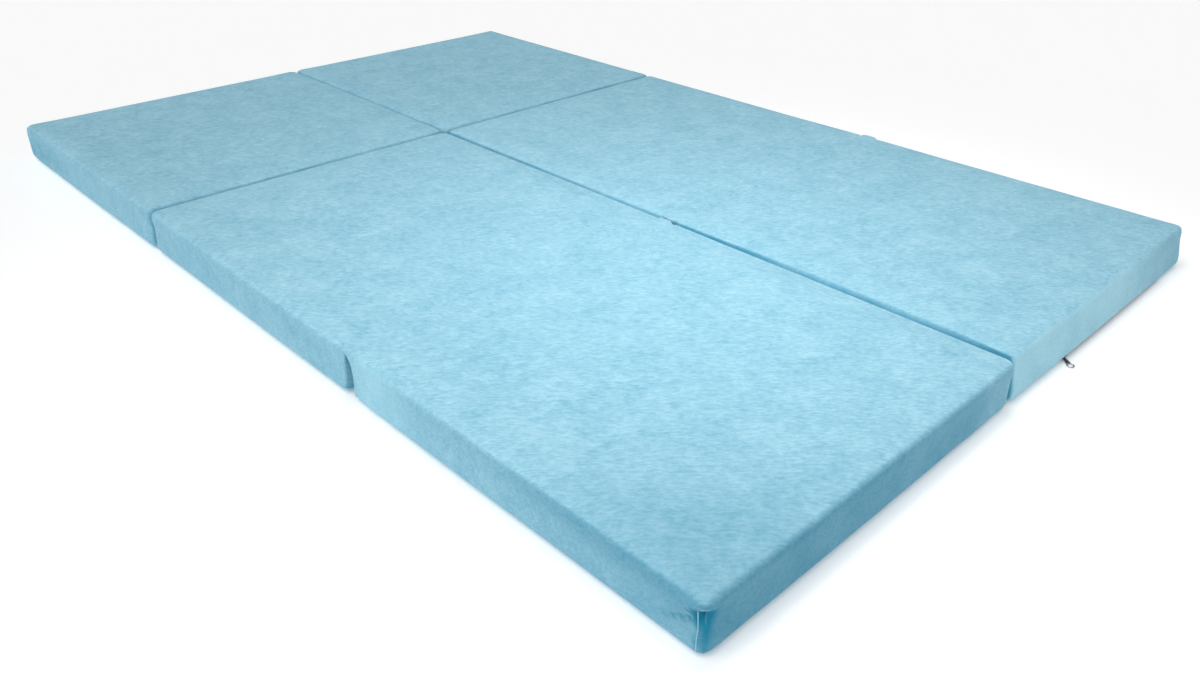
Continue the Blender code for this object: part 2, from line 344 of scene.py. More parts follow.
# a box at its size and place, with rounded upright corners and then rounded edges
def addRoundedBlock(low, high, outerCorner, innerCorner, topEdge, bottomEdge):
    block = addBox(low, high)
    nearby = 0.03

    def atOuterCorner(a):
        besideX = min(abs(a.x - matLow.x), abs(a.x - matHigh.x)) < nearby
        besideY = min(abs(a.y - matLow.y), abs(a.y - matHigh.y)) < nearby
        return besideX and besideY

    for radius, outer in ((outerCorner, True), (innerCorner, False)):
        bevelEdges(block, radius,
                   lambda a, b: abs(a.z - b.z) > 0.05 and atOuterCorner(a) == outer)
    for radius, level in ((topEdge, high[2]), (bottomEdge, low[2])):
        bevelEdges(block, radius,
                   lambda a, b: abs(a.z - level) < 1e-5 and abs(b.z - level) < 1e-5)
    return block


def joinAll(objects):
    makeActive(objects[0])
    for obj in objects:
        obj.select_set(True)
    bpy.ops.object.join()
    return bpy.context.object


def remesh(obj, voxel):
    modifier = obj.modifiers.new("remesh", "REMESH")
    modifier.mode = "VOXEL"
    modifier.voxel_size = voxel
    applyAll(obj)


# cloth under a little air pressure from inside, held back by the foam that it lies on
def swell(obj):
    start = readPoints(obj)
    normals = readNormals(obj)
    modifier = obj.modifiers.new("cloth", "CLOTH")
    settings = modifier.settings
    settings.quality = cloth["quality"]
    settings.mass = cloth["mass"]
    settings.tension_stiffness = cloth["stiffness"]
    settings.compression_stiffness = cloth["stiffness"]
    settings.shear_stiffness = cloth["shear"]
    settings.bending_stiffness = cloth["bending"]
    settings.use_pressure = True
    settings.uniform_pressure_force = cloth["pressure"]
    settings.shrink_min = cloth["shrink"]
    settings.effector_weights.gravity = 0
    modifier.collision_settings.use_collision = False
    modifier.collision_settings.use_self_collision = False
    modifier.point_cache.frame_end = cloth["frames"]
    for number in range(1, cloth["frames"] + 1):
        bpy.context.scene.frame_set(number)
    evaluated = obj.evaluated_get(bpy.context.evaluated_depsgraph_get())
    move = readPoints(evaluated) - start
    out = (move * normals).sum(1)
    allowed = np.clip(out, -cloth["inMost"], cloth["outMost"])
    move += normals * (allowed - out)[:, None]
    length = np.linalg.norm(move, axis=1)
    move *= np.minimum(1, cloth["outMost"] / np.maximum(length, 1e-9))[:, None]
    print("   cloth moved up to", round(float(length.max()) * 1000, 1), "mm")
    obj.modifiers.remove(modifier)
    bpy.context.scene.frame_set(1)
    writePoints(obj, start + move)


jointLook = {
    "edge": 0.009,  # the top edge's radius that is squared off beside a joint
    "rimLeft": 0.0010,  # how much of its drop is left
    "squaring": 0.8,
    "fade": 0.03,  # how far into the block the wall's move dies away
    "beside": 0.12,  # how far from the joint points are moved at all
}


# moves the wall beside a joint so that it stands gap from the joint's plane, and squares its top
# edge: side says where the block is from the wall, gap and sharp may differ from point to point
def closeJoint(points, wall, axis, side, gap, sharp):
    inward = side * (points[:, axis] - wall)
    near = np.exp(-np.maximum(inward, 0) / jointLook["fade"])
    radius = jointLook["edge"]
    drop = height - points[:, 2]
    fromTop = np.clip(1 - drop / radius, 0, 1)
    fromWall = np.clip(1 - inward / radius, 0, 1)
    lift = np.clip(drop - jointLook["rimLeft"], 0, radius) * np.clip(fromTop * fromWall * 2.5, 0, 1)
    points[:, 2] += lift * sharp * jointLook["squaring"]
    points[:, axis] -= side * inward * fromTop * fromWall * sharp * jointLook["squaring"]
    points[:, axis] += gap * near


creaseLook = {
    "wall": 0.00375,  # where the walls beside the far joint are before they are moved
    "shut": 0.0037,  # how far each is moved to meet the other
    "open": 0.0015,  # what stays open of that at the top, on each side
    "openDepth": (0.0005, 0.0060),  # from the top down to where it is shut
    "openEnds": 0.0011,  # more at both ends
    "wave": (0.0010, 23, 1.0),  # height, waves in 2 pi metres, and where it starts
    "ripple": (0.0006, 61),
    "squared": 0.9,
}
gapLook = {
    "wall": 0.005,  # where the walls beside the column joint are before they are moved
    "middle": 0.0007,  # half the gap beside the near and middle rows
    "far": 0.0004,
    "nearSlope": 0.0102,  # how far the right edge slopes away along the near row
    "middleSlope": 0.0014,
    "slopeDepth": (0.001, 0.017),
    "ruffle": (0.0013, 70),  # at the far row: height, and waves in 2 pi metres
    "squared": 0.85,
}


# the joints as they lie: slit, creases and the gap between the columns
def shapeCover(obj, column):
    points = readPoints(obj)
    side = 1 if column == "left" else -1
    x, y, z = points[:, 0].copy(), points[:, 1].copy(), points[:, 2].copy()
    slitHalf = coverShape["slitHalf"]
    slitTop = height - coverShape["slitTop"]
    # the slit's own upright edges are crisp
    outer = matLow.x if column == "left" else matHigh.x
    radius = coverShape["innerCorner"] + 0.5 * coverShape["voxel"]
    alongX = 1 - (side * (x - outer) - coverShape["inset"]) / radius
    alongY = 1 - (np.abs(y - nearJointY) - slitHalf) / radius
    corner = (alongX > 0) & (alongY > 0) & (z < slitTop)
    push = np.where(corner, 1 / np.clip(np.maximum(alongX, alongY), 0.7, 1) - 1, 0) * 0.9
    points[:, 0] -= side * push * np.clip(alongX, 0, 1) * radius
    points[:, 1] -= np.sign(y - nearJointY) * push * np.clip(alongY, 0, 1) * radius
    # the slit under the near joint narrows upwards: its walls lean over it
    fromJoint = points[:, 1] - nearJointY
    slitFade = np.exp(-np.maximum(np.abs(fromJoint) - slitHalf, 0) / 0.04)
    rise = np.clip(z / slitTop, 0, 1)
    lean = (slitHalf - coverShape["slitNeck"]) * rise**1.3 * slitFade
    lean *= np.clip(np.abs(fromJoint) / slitHalf, 0, 1)
    lean *= 1 - smoothStep(z, height - 0.007, height - 0.002)
    points[:, 1] -= np.sign(fromJoint) * lean
    # the crease at the far joint: walls that all but touch along a slightly wavy line
    toward = -np.sign(farJointY - y)  # +1 on the far block
    blockLow, blockHigh = blockBox[f"far_{column}"]
    across = (x - blockLow.x) / (blockHigh.x - blockLow.x)
    waveHeight, waves, waveStart = creaseLook["wave"]
    rippleHeight, ripples = creaseLook["ripple"]
    wave = waveHeight * np.sin(x * waves + waveStart) + rippleHeight * np.sin(x * ripples)
    opening = creaseLook["open"] * (1 - smoothStep(height - z, *creaseLook["openDepth"]))
    opening = opening + creaseLook["openEnds"] * smoothStep(np.abs(across - 0.5), 0.40, 0.5)
    moved = points.copy()
    closeJoint(moved, farJointY + toward * creaseLook["wall"], 1, toward,
               -toward * (creaseLook["shut"] - opening) + wave, creaseLook["squared"])
    beside = np.abs(y - farJointY) < jointLook["beside"]
    points[beside] = moved[beside]
    # the gap between the columns: open at the near row, a line at the middle row, shut at the far
    inner = columnX - side * gapLook["wall"]
    half = np.where(y > farJointY, gapLook["far"], gapLook["middle"])
    if column == "right":
        # this side's edge slopes away from the gap, so that its wall shows as a band
        along = (nearJointY - y) / (nearJointY - matLow.y)
        openNear = smoothStep(along, 0.0, 0.55) * (1 - smoothStep(along, 0.80, 1.0))
        openNear *= 1 + 0.10 * np.sin(y * 47) + 0.07 * np.sin(y * 113)
        slope = np.where(y < nearJointY, gapLook["nearSlope"] * openNear,
                         gapLook["middleSlope"] * smoothStep(farJointY - y, 0.1, 0.62))
        slope *= (y < farJointY) * (1 - smoothStep(height - z, *gapLook["slopeDepth"]))
        half = half + slope
    ruffleHeight, ruffles = gapLook["ruffle"]
    ruffle = ruffleHeight * np.sin(y * ruffles)
    ruffle *= 1 - smoothStep(y, farJointY + 0.25, farJointY + 0.5)
    moved = points.copy()
    closeJoint(moved, inner, 0, -side,
               side * (gapLook["wall"] - half) + np.where(y > farJointY, ruffle, 0),
               gapLook["squared"])
    beside = np.abs(x - inner) < jointLook["beside"]
    points[beside] = moved[beside]
    writePoints(obj, points)


# flattens the bottom edge of the near right block where the zip lies, and cuts a slot for it,
# so that the tapes stand clear of the cloth
def fitZip(obj):
    reach = zipHalf + 0.03
    for turn in range(2):
        for face in obj.data.polygons:
            place = face.center
            face.select = (abs(place.x - zipOrigin.x) < reach and place.y < matLow.y + 0.022
                           and place.z < 0.022)
        makeActive(obj)
        bpy.ops.object.mode_set(mode="EDIT")
        bpy.ops.mesh.subdivide(number_cuts=1)
        bpy.ops.mesh.select_all(action="DESELECT")
        bpy.ops.object.mode_set(mode="OBJECT")
    points = readPoints(obj)
    depth = ((points[:, 1] - matLow.y) + points[:, 2]) / math.sqrt(2)
    across = (points[:, 2] - (points[:, 1] - matLow.y)) / math.sqrt(2)
    flat = (zipOrigin.y - matLow.y + zipOrigin.z) / math.sqrt(2)
    fromMiddle = np.abs(points[:, 0] - zipOrigin.x)
    ends = 1 - smoothStep(fromMiddle, zipHalf + 0.003, zipHalf + 0.022)
    inSlot = np.abs(across) < zipLook["halfSlot"]
    target = flat + np.where(inSlot, zipLook["slotDepth"], -0.0006)
    low = (depth < target) & (points[:, 1] < matLow.y + 0.03) & (points[:, 2] < 0.03)
    move = np.where(low, (target - depth) * ends, 0) / math.sqrt(2)
    points[:, 1] += move
    points[:, 2] += move
    writePoints(obj, points)


wallLook = {
    "wave": (0.0007, 0.22),  # soft waves all over: height and size
    "ripple": (0.0004, 0.07),
    "waistTop": (0.002, 0.028),  # from the top down to where the wall is drawn in fully
    "waistLow": (0.004, 0.052),  # heights between which it comes out again to the floor
    # folds on the left wall near its corner: start, end (from the corner, height), depth, width
    "cornerFolds": (
        ((0.002, 0.057), (0.080, 0.018), 0.0042, 0.0056),
        ((0.010, 0.038), (0.060, 0.008), 0.0026, 0.0052),
    ),
    "hollow": (0.0085, 0.012, 0.058, 0.0065),  # depth, width, height of its middle, half height
    "valley": (0.0036, 0.010),  # below the hollow: depth and width
    "gatherSize": 0.018,
    "gather": 0.0019,
    "slitFoldSize": 0.052,
    "slitFold": 0.0016,
    "leanBack": 0.0085,  # at the top of the near right wall
}


# the hollow's middle stands a little inside the near left corner
def fromHollow(x, y):
    return np.hypot(x - (matLow.x + 0.005), y - (matLow.y + 0.004))


# fine upright gathers, as a wave along Y that wanders a little
def gathers(points, y):
    return np.sin(y * 2 * math.pi / wallLook["gatherSize"] + 2.2 * noiseAt(points, 0.05, 21.0))


# folds, gathers, hollow and soft waves on the outer walls, and the faint dips of the top
def foldWalls(obj, column):
    points = readPoints(obj)
    normals = readNormals(obj)
    x, y, z = points.T
    onWall = smoothStep(np.hypot(normals[:, 0], normals[:, 1]), 0.55, 0.95)
    outer = matLow.x if column == "left" else matHigh.x
    outerWall = np.minimum(np.abs(x - outer), np.minimum(y - matLow.y, matHigh.y - y)) < 0.012
    waveHeight, waveSize = wallLook["wave"]
    rippleHeight, rippleSize = wallLook["ripple"]
    big = noiseAt(points, waveSize, 3.0)
    depth = waveHeight * big + rippleHeight * noiseAt(points, rippleSize, 9.0)
    depth *= 0.3 + 0.7 * onWall
    # the walls draw in below the top edge and come out again at the floor
    waist = np.where(z > wallLook["waistLow"][1], smoothStep(height - z, *wallLook["waistTop"]),
                     smoothStep(z, *wallLook["waistLow"]))
    waist *= 1 - 0.9 * smoothStep(y, matHigh.y - 0.30, matHigh.y - 0.02)
    depth -= coverShape["waist"] * (0.75 + 0.5 * big) * waist * onWall * outerWall
    if column == "left":
        along = y - matLow.y  # along the left wall from the near corner
        leftWall = smoothStep(-normals[:, 0], 0.3, 0.8)
        # two folds run from under the top edge at the corner down to the bottom edge
        for start, end, deep, wide in wallLook["cornerFolds"]:
            line = np.array(end) - np.array(start)
            length = np.linalg.norm(line)
            line /= length
            t = (along - start[0]) * line[0] + (z - start[1]) * line[1]
            off = (z - start[1]) * line[0] - (along - start[0]) * line[1]
            reach = smoothStep(t, -0.006, 0.006) * (1 - smoothStep(t, 0.3 * length, length))
            depth -= deep * bell(off, wide) * reach * leftWall
            depth += 0.55 * deep * bell(off - 2.0 * wide, 1.3 * wide) * reach * leftWall
        # the hollow under the top edge at the corner, and the valley that runs down from it
        corner = fromHollow(x, y)
        deep, wide, middle, tall = wallLook["hollow"]
        depth -= deep * bell(corner, wide) * bell(z - middle, tall)
        deep, wide = wallLook["valley"]
        fade = smoothStep(z, 0.004, 0.02) * (1 - smoothStep(z, 0.050, 0.060))
        depth -= deep * bell(corner, wide) * fade
        # fine upright gathers near the far corner
        fromFar = matHigh.y - y
        fade = (1 - smoothStep(fromFar, 0.10, 0.26)) * smoothStep(fromFar, 0.0, 0.02) * leftWall
        depth += wallLook["gather"] * gathers(points, y) * fade * bell(z - 0.032, 0.024)
        # soft folds in the wall next to the slit
        fromSlit = nearJointY - y
        fold = np.sin((fromSlit + z * 0.7) * 2 * math.pi / wallLook["slitFoldSize"])
        fade = smoothStep(fromSlit, 0.0, 0.02) * (1 - smoothStep(fromSlit, 0.06, 0.16)) * leftWall
        depth += wallLook["slitFold"] * fold * fade * bell(z - 0.030, 0.024)
    points += normals * depth[:, None]
    if column == "right":
        # the near wall of this block leans back, so that it catches more of the light from above
        lean = wallLook["leanBack"] * smoothStep(z, 0.018, 0.078)
        points[:, 1] += lean * np.exp(-(y - matLow.y) / 0.035) * (y < nearJointY)
    points[:, 2] = np.maximum(points[:, 2], 0.0002)
    writePoints(obj, points)


# how much painted shade and painted light each place gets, from 0 to 1
paintedLightAndShade = {
    "leftWall": 0.19,
    "band": 0.20,  # under the top edge on the near half of the left wall
    "nearEnd": 0.20,
    "farEnd": 0.10,
    "gathers": 0.30,
    "nearWall": 0.67,
    "topCorner": 0.24,
    "besideSlit": 0.40,
    "cornerEdge": (0.30, 0.28),  # at the floor, and more up to the hollow
    "hollow": 0.6,
    "underFold": 0.45,
    "rightWallPaintedLight": (0.34, 0.20),  # at the floor, and more above it
    "rightWallPaintedShade": (0.10, 0.20),  # all along, and more at its far end
    "crease": 0.42,
    "creaseDepth": 0.30,
    "gap": {"left": 0.50, "right": 0.92},
    "gapRim": 0.5,
    "slit": (0.25, 0.5, 0.4),  # all over, more at the floor, more at its top
}


# writes the painted shade and painted light at each point, for the velour
def paintLightAndShade(obj, column):
    points = readPoints(obj)
    normals = readNormals(obj)
    x, y, z = points.T
    paintedShade = np.zeros(len(points))
    paintedLight = np.zeros(len(points))
    patchy = 0.5 + 0.5 * np.clip(2.2 * noiseAt(points, 0.045, 31.0), -1, 1)
    nearWall = smoothStep(-normals[:, 1], 0.45, 0.9) * (y < matLow.y + 0.03)
    if column == "left":
        leftWall = smoothStep(-normals[:, 0], 0.45, 0.9) * (x < matLow.x + 0.03)
        top = smoothStep(normals[:, 2], 0.5, 0.9)
        fromCorner = y - matLow.y
        # painted shade over the left wall: more in a band under the top edge on its near half, and
        # more towards its near end
        band = smoothStep(z, 0.036, 0.066) * (1 - smoothStep(z, 0.074, 0.080))
        band *= 1 - smoothStep(fromCorner, 0.12, 0.60)
        paintedShade += leftWall * (paintedLightAndShade["leftWall"] + paintedLightAndShade["band"] * band)
        paintedShade += leftWall * (paintedLightAndShade["nearEnd"] * (1 - smoothStep(fromCorner, 0.05, 0.40)))
        # painted shade, patchy, towards the far end of the left wall, and in the valleys between
        # the gathers there
        farEnd = smoothStep(y, matHigh.y - 0.35, matHigh.y)
        paintedShade += leftWall * paintedLightAndShade["farEnd"] * farEnd * patchy
        valley = np.clip(-gathers(points, y), 0, 1) * bell(z - 0.032, 0.030)
        valley *= smoothStep(y, matHigh.y - 0.28, matHigh.y - 0.10)
        paintedShade += leftWall * paintedLightAndShade["gathers"] * valley
        # painted shade on the near wall, less of it towards the gap between the columns
        paler = 0.12 * smoothStep(x, matLow.x, columnX - 0.10)
        paintedShade += nearWall * (paintedLightAndShade["nearWall"] - paler + 0.10 * (patchy - 0.5))
        paintedShade -= nearWall * 0.22 * smoothStep(x, columnX - 0.14, columnX - 0.02)
        # painted shade on the top towards the near corner
        fromNearCorner = np.hypot(x - matLow.x, y - matLow.y)
        paintedShade += top * paintedLightAndShade["topCorner"] * (1 - smoothStep(fromNearCorner, 0.02, 0.34))
        # painted light on the left wall next to the slit
        besideSlit = bell(y - (nearJointY - 0.07), 0.075) * (0.6 + 0.4 * patchy)
        paintedLight += leftWall * paintedLightAndShade["besideSlit"] * besideSlit
        # painted shade on the upright edge right of the seam, and in the hollow at its top
        turn = np.degrees(np.arctan2(-normals[:, 1], -normals[:, 0]))
        level = np.hypot(normals[:, 0], normals[:, 1]) > 0.35
        edge = smoothStep(turn, 12, 20) * (1 - smoothStep(turn, 35, 88)) * level
        atCorner = (fromNearCorner < 0.035) * (1 - smoothStep(z, 0.058, 0.066))
        low, more = paintedLightAndShade["cornerEdge"]
        paintedShade += (low + more * smoothStep(z, 0.015, 0.05)) * edge * atCorner
        paintedShade += paintedLightAndShade["hollow"] * bell(fromHollow(x, y), 0.012) * bell(z - 0.058, 0.004)
        # painted shade under the fold that runs left from the hollow
        foldFade = 1 - smoothStep(fromCorner, 0.03, 0.085)
        underFold = bell(z - (0.055 - 0.48 * fromCorner), 0.0030) * foldFade
        paintedShade += paintedLightAndShade["underFold"] * leftWall * underFold
        # painted highlight where the rim of the gap between the columns catches the light
        rim = (np.abs(x - columnX) < 0.008) * (z > height - 0.006)
        paintedLight += paintedLightAndShade["gapRim"] * smoothStep(normals[:, 0], 0.1, 0.4) * rim
    else:
        # painted light on the near wall of the near right block, fading towards its right end
        low, more = paintedLightAndShade["rightWallPaintedLight"]
        fade = (0.7 + 0.3 * patchy) * (1 - 0.8 * smoothStep(x, 0.30, 0.62))
        paintedLight += nearWall * (low + more * smoothStep(z, 0.01, 0.05)) * fade
        # painted shade along that wall, more at its far end
        low, more = paintedLightAndShade["rightWallPaintedShade"]
        paintedShade += nearWall * (low + more * smoothStep(x, 0.40, 0.62))
    # painted shade inside the crease, the gap between the columns and the slit
    crease = 1 - smoothStep(np.abs(y - farJointY), 0.0015, 0.0070)
    fading = 0.25 + 0.75 * smoothStep(np.abs(x - columnX), 0.10, 0.35)
    inCrease = paintedLightAndShade["crease"] * fading * (0.4 + 0.6 * patchy)
    inCrease = inCrease + paintedLightAndShade["creaseDepth"] * smoothStep(height - z, 0.001, 0.006)
    paintedShade += crease * inCrease
    gap = smoothStep(np.abs(normals[:, 0]), 0.35, 0.75) * (np.abs(x - columnX) < 0.016)
    gap *= smoothStep(height - z, 0.0008, 0.0050)
    gap *= np.where(y > farJointY, 0.30, np.where(y > nearJointY, 0.65, 1.0))
    paintedShade += gap * paintedLightAndShade["gap"][column] * (0.75 + 0.25 * patchy)
    slit = smoothStep(np.abs(normals[:, 1]), 0.5, 0.85) * (np.abs(y - nearJointY) < 0.016)
    everywhere, atFloor, atTop = paintedLightAndShade["slit"]
    paintedShade += slit * (everywhere + atFloor * (1 - smoothStep(z, 0.004, 0.020))
                       + atTop * smoothStep(z, 0.045, 0.066))
    for name, values in (("paintedShadePile", paintedShade), ("paintedLightPile", paintedLight)):
        layer = obj.data.attributes.new(name, "FLOAT", "POINT")
        layer.data.foreach_set("value", np.clip(values, 0, 1).astype(np.float32))


# one sewn cover: one block, or two that share the cloth across the near joint
def makeCover(name, blocks, column):
    inset = coverShape["inset"]
    slitHalf = coverShape["slitHalf"]
    rounding = {key: coverShape[key]
                for key in ("outerCorner", "innerCorner", "topEdge", "bottomEdge")}
    made = []
    for block in blocks:
        low, high = blockBox[block]
        low = low + Vector((inset, inset, inset))
        high = high - Vector((inset, inset, inset))
        if len(blocks) == 2:
            if block.startswith("near"):
                high.y = nearJointY - slitHalf
            else:
                low.y = nearJointY + slitHalf
        made.append(addRoundedBlock(low, high, **rounding))
    if len(blocks) == 2:
        # the cloth that runs on over the joint
        low, high = blockBox[blocks[0]]
        reach = slitHalf + coverShape["innerCorner"] + 0.004
        under = height - coverShape["slitTop"] - 0.002
        bridge = addBox((low.x + inset, nearJointY - reach, under),
                        (high.x - inset, nearJointY + reach, height - inset))
        bevelEdges(bridge, coverShape["topEdge"],
                   lambda a, b: min(a.z, b.z) > height - 0.002 and abs(a.x - b.x) < 1e-5)
        made.append(bridge)
    obj = joinAll(made) if len(made) > 1 else made[0]
    obj.name = name
    remesh(obj, coverShape["voxel"])
    swell(obj)
    shapeCover(obj, column)
    foldWalls(obj, column)
    if "near_right" in blocks:
        fitZip(obj)
    paintLightAndShade(obj, column)
    obj.data.shade_smooth()
    setMaterial(obj, velour)
    print("cover made:", name, len(obj.data.vertices), "points")
    return obj


for column in ("left", "right"):
    title = column.capitalize()
    pair = makeCover(f"coverNearMiddle{title}", (f"near_{column}", f"middle_{column}"), column)
    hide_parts(f"cover_near_{column}", f"base_near_{column}", f"cover_middle_{column}",
                f"base_middle_{column}", f"top_web_{column}")
    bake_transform(pair)
    far = makeCover(f"coverFar{title}", (f"far_{column}",), column)
    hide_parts(f"cover_far_{column}", f"base_far_{column}")
    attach(far, f"far_{column}")
print("covers done")

# foam cores, clear of the covers' deepest folds
foamLook = {"inset": 0.011, "outerCorner": 0.024, "innerCorner": 0.006, "edge": 0.006}
for block, (low, high) in blockBox.items():
    inset = Vector((foamLook["inset"],) * 3)
    foam = addRoundedBlock(low + inset, high - inset, foamLook["outerCorner"],
                           foamLook["innerCorner"], foamLook["edge"], foamLook["edge"])
    row, column = block.split("_")
    foam.name = f"foamCore{row.capitalize()}{column.capitalize()}"
    setMaterial(foam, cutFoam)
    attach(foam, block)
    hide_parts(f"foam_{block}")
print("foam made")

webLook = {
    "thickness": 0.0012,
    "level": 0.0008,  # height of its middle layer above the floor
    "rise": 0.0016,  # how far it arches up into the gap
    "wrinkle": 0.0003,
    "bend": 0.005,  # a reach on both sides of its joint
    "fine": 90,  # faces along it
    "coarse": 16,  # and across it
}


# a strip of the cover cloth under a fold, slack enough to arch up a little into the gap
def makeWeb(name, node, across):
    low, high = nodeBox(node)
    centre = Vector(((low.x + high.x) / 2, (low.y + high.y) / 2, 0))
    deselectAll()
    counts = [webLook["fine"], webLook["fine"]]
    counts[across] = webLook["coarse"]
    bpy.ops.mesh.primitive_grid_add(x_subdivisions=counts[0], y_subdivisions=counts[1], size=1,
                                    location=(centre.x, centre.y, webLook["level"]))
    web = bpy.context.object
    web.name = name
    web.scale = (high.x - low.x, high.y - low.y, 1)
    applyPlace()
    points = readPoints(web)
    middle = (low[across] + high[across]) / 2
    share = 2 * (points[:, across] - middle) / (high[across] - low[across])
    points[:, 2] += webLook["rise"] * np.clip(1 - share**2, 0, 1) ** 2
    points[:, 2] += webLook["wrinkle"] * noiseAt(points, 0.03, 4.0) * (1 - share**2)
    writePoints(web, points)
    solid = web.modifiers.new("cloth thickness", "SOLIDIFY")
    solid.thickness = webLook["thickness"]
    solid.offset = 0
    applyAll(web)
    web.data.shade_smooth()
    setMaterial(web, velour)
    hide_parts(node)
    reach = Vector((0, 0, 0))
    reach[across] = webLook["bend"]
    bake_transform(web)


makeWeb("columnWeb", "column_web", 0)
for column in ("left", "right"):
    title = column.capitalize()
    makeWeb(f"bottomWeb{title}", f"bottom_web_{column}", 1)
print("webs made")


# a round wire or bead through the points, as a mesh
def addWire(name, points, radius, resolution=3):
    deselectAll()
    bpy.ops.curve.primitive_nurbs_path_add()
    wire = bpy.context.object
    wire.name = name
    wire.data.splines.clear()
    spline = wire.data.splines.new("NURBS")
    spline.points.add(len(points) - 1)
    for point, place in zip(spline.points, points):
        point.co = (*place, 1)
    spline.order_u = 4
    spline.use_endpoint_u = True
    spline.resolution_u = resolution
    wire.data.bevel_depth = radius
    wire.data.bevel_resolution = 2
    wire.data.use_fill_caps = True
    makeActive(wire)
    bpy.ops.object.convert(target="MESH")
    applyPlace()
    return bpy.context.object


# a bevel modifier on every edge, applied
def roundEdges(obj, rounding, segments):
    bevel = obj.modifiers.new("rounded", "BEVEL")
    bevel.width = rounding
    bevel.segments = segments
    applyAll(obj)


def addBar(low, high, rounding, segments=2):
    bar = addBox(low, high)
    roundEdges(bar, rounding, segments)
    return bar


# puts a piece that was made round the origin in its place, for good
def finishPiece(obj, name, place, material, body, nodes):
    obj.data.transform(place)
    obj.name = name
    obj.data.shade_smooth()
    setMaterial(obj, material)
    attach(obj, body)
    if nodes:
        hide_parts(*nodes)


# the coil: one turn modelled once and repeated on both sides, half a turn apart
pitch = zipLook["pitch"]
coilLook = {"toothLow": (0, -0.0002, -0.0006), "toothHigh": (0.62 * pitch, 0.0024, 0.0013),
            "rounding": 0.00035, "half": zipHalf - 0.0035}
rows = []
for sideways in (1, -1):
    start = Vector((-coilLook["half"], 0, 0))
    tooth = addBar(start + Vector(coilLook["toothLow"]), start + Vector(coilLook["toothHigh"]),
                   coilLook["rounding"], 1)
    repeat = tooth.modifiers.new("turns", "ARRAY")
    repeat.use_relative_offset = False
    repeat.use_constant_offset = True
    repeat.constant_offset_displace = (pitch, 0, 0)
    repeat.count = int(2 * coilLook["half"] / pitch) - 1
    applyAll(tooth)
    if sideways == -1:
        tooth.data.transform(Matrix.Translation((pitch / 2, 0, 0))
                             @ Matrix.Rotation(math.pi, 4, "X")
                             @ Matrix.Translation((0, 0, -0.0007)))
    rows.append(tooth)
finishPiece(joinAll(rows), "zipCoil", zipPlace, coilNylon, "near_right", ["zip_chain"])

stopLook = {"half": (0.0015, 0.0026), "low": -0.0008, "high": 0.0021, "rounding": 0.0006}
for sideways, title in ((-1, "Inner"), (1, "Outer")):
    halfLength, halfWidth = stopLook["half"]
    middle = sideways * (zipHalf - halfLength)
    stop = addBar((middle - halfLength, -halfWidth, stopLook["low"]),
                  (middle + halfLength, halfWidth, stopLook["high"]), stopLook["rounding"])
    finishPiece(stop, f"zipStop{title}", zipPlace, nickelPlate, "near_right",
                [f"zip_stop_{title.lower()}"])

# the cloth is turned in and stitched down along both tapes, with a slight wave
hemLook = {"outside": 0.0008, "wave": 0.00015, "past": 0.004}
hemEnd = zipHalf + hemLook["past"]
for sideways, title in ((1, "Upper"), (-1, "Lower")):
    line = [(x, sideways * (zipLook["halfSlot"] + hemLook["outside"])
             + hemLook["wave"] * math.sin(x * 90), 0.0001)
            for x in np.linspace(-hemEnd, hemEnd, 60)]
    hem = addWire(f"zipHem{title}", line, zipLook["hem"])
    finishPiece(hem, f"zipHem{title}", zipPlace, velour, "near_right", [])

# slider: a waisted plate with a flange down each side and an arched bridge for the pull
sliderLook = {"half": (0.0065, 0.0040), "waist": 0.86, "plate": (0.0019, 0.0029),
              "flange": (0.0063, 0.0034, 0.0006, 0.0024), "bridge": 0.00052}
sliderLow, sliderHigh = nodeBox("zip_slider")
sliderX = (sliderLow.x + sliderHigh.x) / 2 - zipOrigin.x
sliderPlace = zipPlace @ Matrix.Translation((sliderX, 0, 0))
halfLength, halfWidth = sliderLook["half"]
plateLow, plateHigh = sliderLook["plate"]
plate = addBar((-halfLength, -halfWidth, plateLow), (halfLength, halfWidth, plateHigh), 0.0004)
points = readPoints(plate)
flare = np.abs(points[:, 0] / halfLength) ** 1.5
points[:, 1] *= sliderLook["waist"] + (1 - sliderLook["waist"]) * flare
writePoints(plate, points)
parts = [plate]
flangeLength, flangeAt, flangeHalf, flangeTop = sliderLook["flange"]
for sideways in (1, -1):
    parts.append(addBar((-flangeLength, sideways * flangeAt - flangeHalf, 0.0000),
                        (flangeLength, sideways * flangeAt + flangeHalf, flangeTop), 0.0003))
bridgeHalf = [(0.0044, 0, 0.0024), (0.0043, 0, 0.0036), (0.0037, 0, 0.0047), (0.0022, 0, 0.0050)]
bridgeLine = ([(-x, y, z) for x, y, z in bridgeHalf] + [(0, 0, 0.0050)] + bridgeHalf[::-1])
parts.append(addWire("zipBridge", bridgeLine, sliderLook["bridge"], resolution=4))
finishPiece(joinAll(parts), "zipSlider", sliderPlace, blackEnamel, "slider", ["zip_slider"])

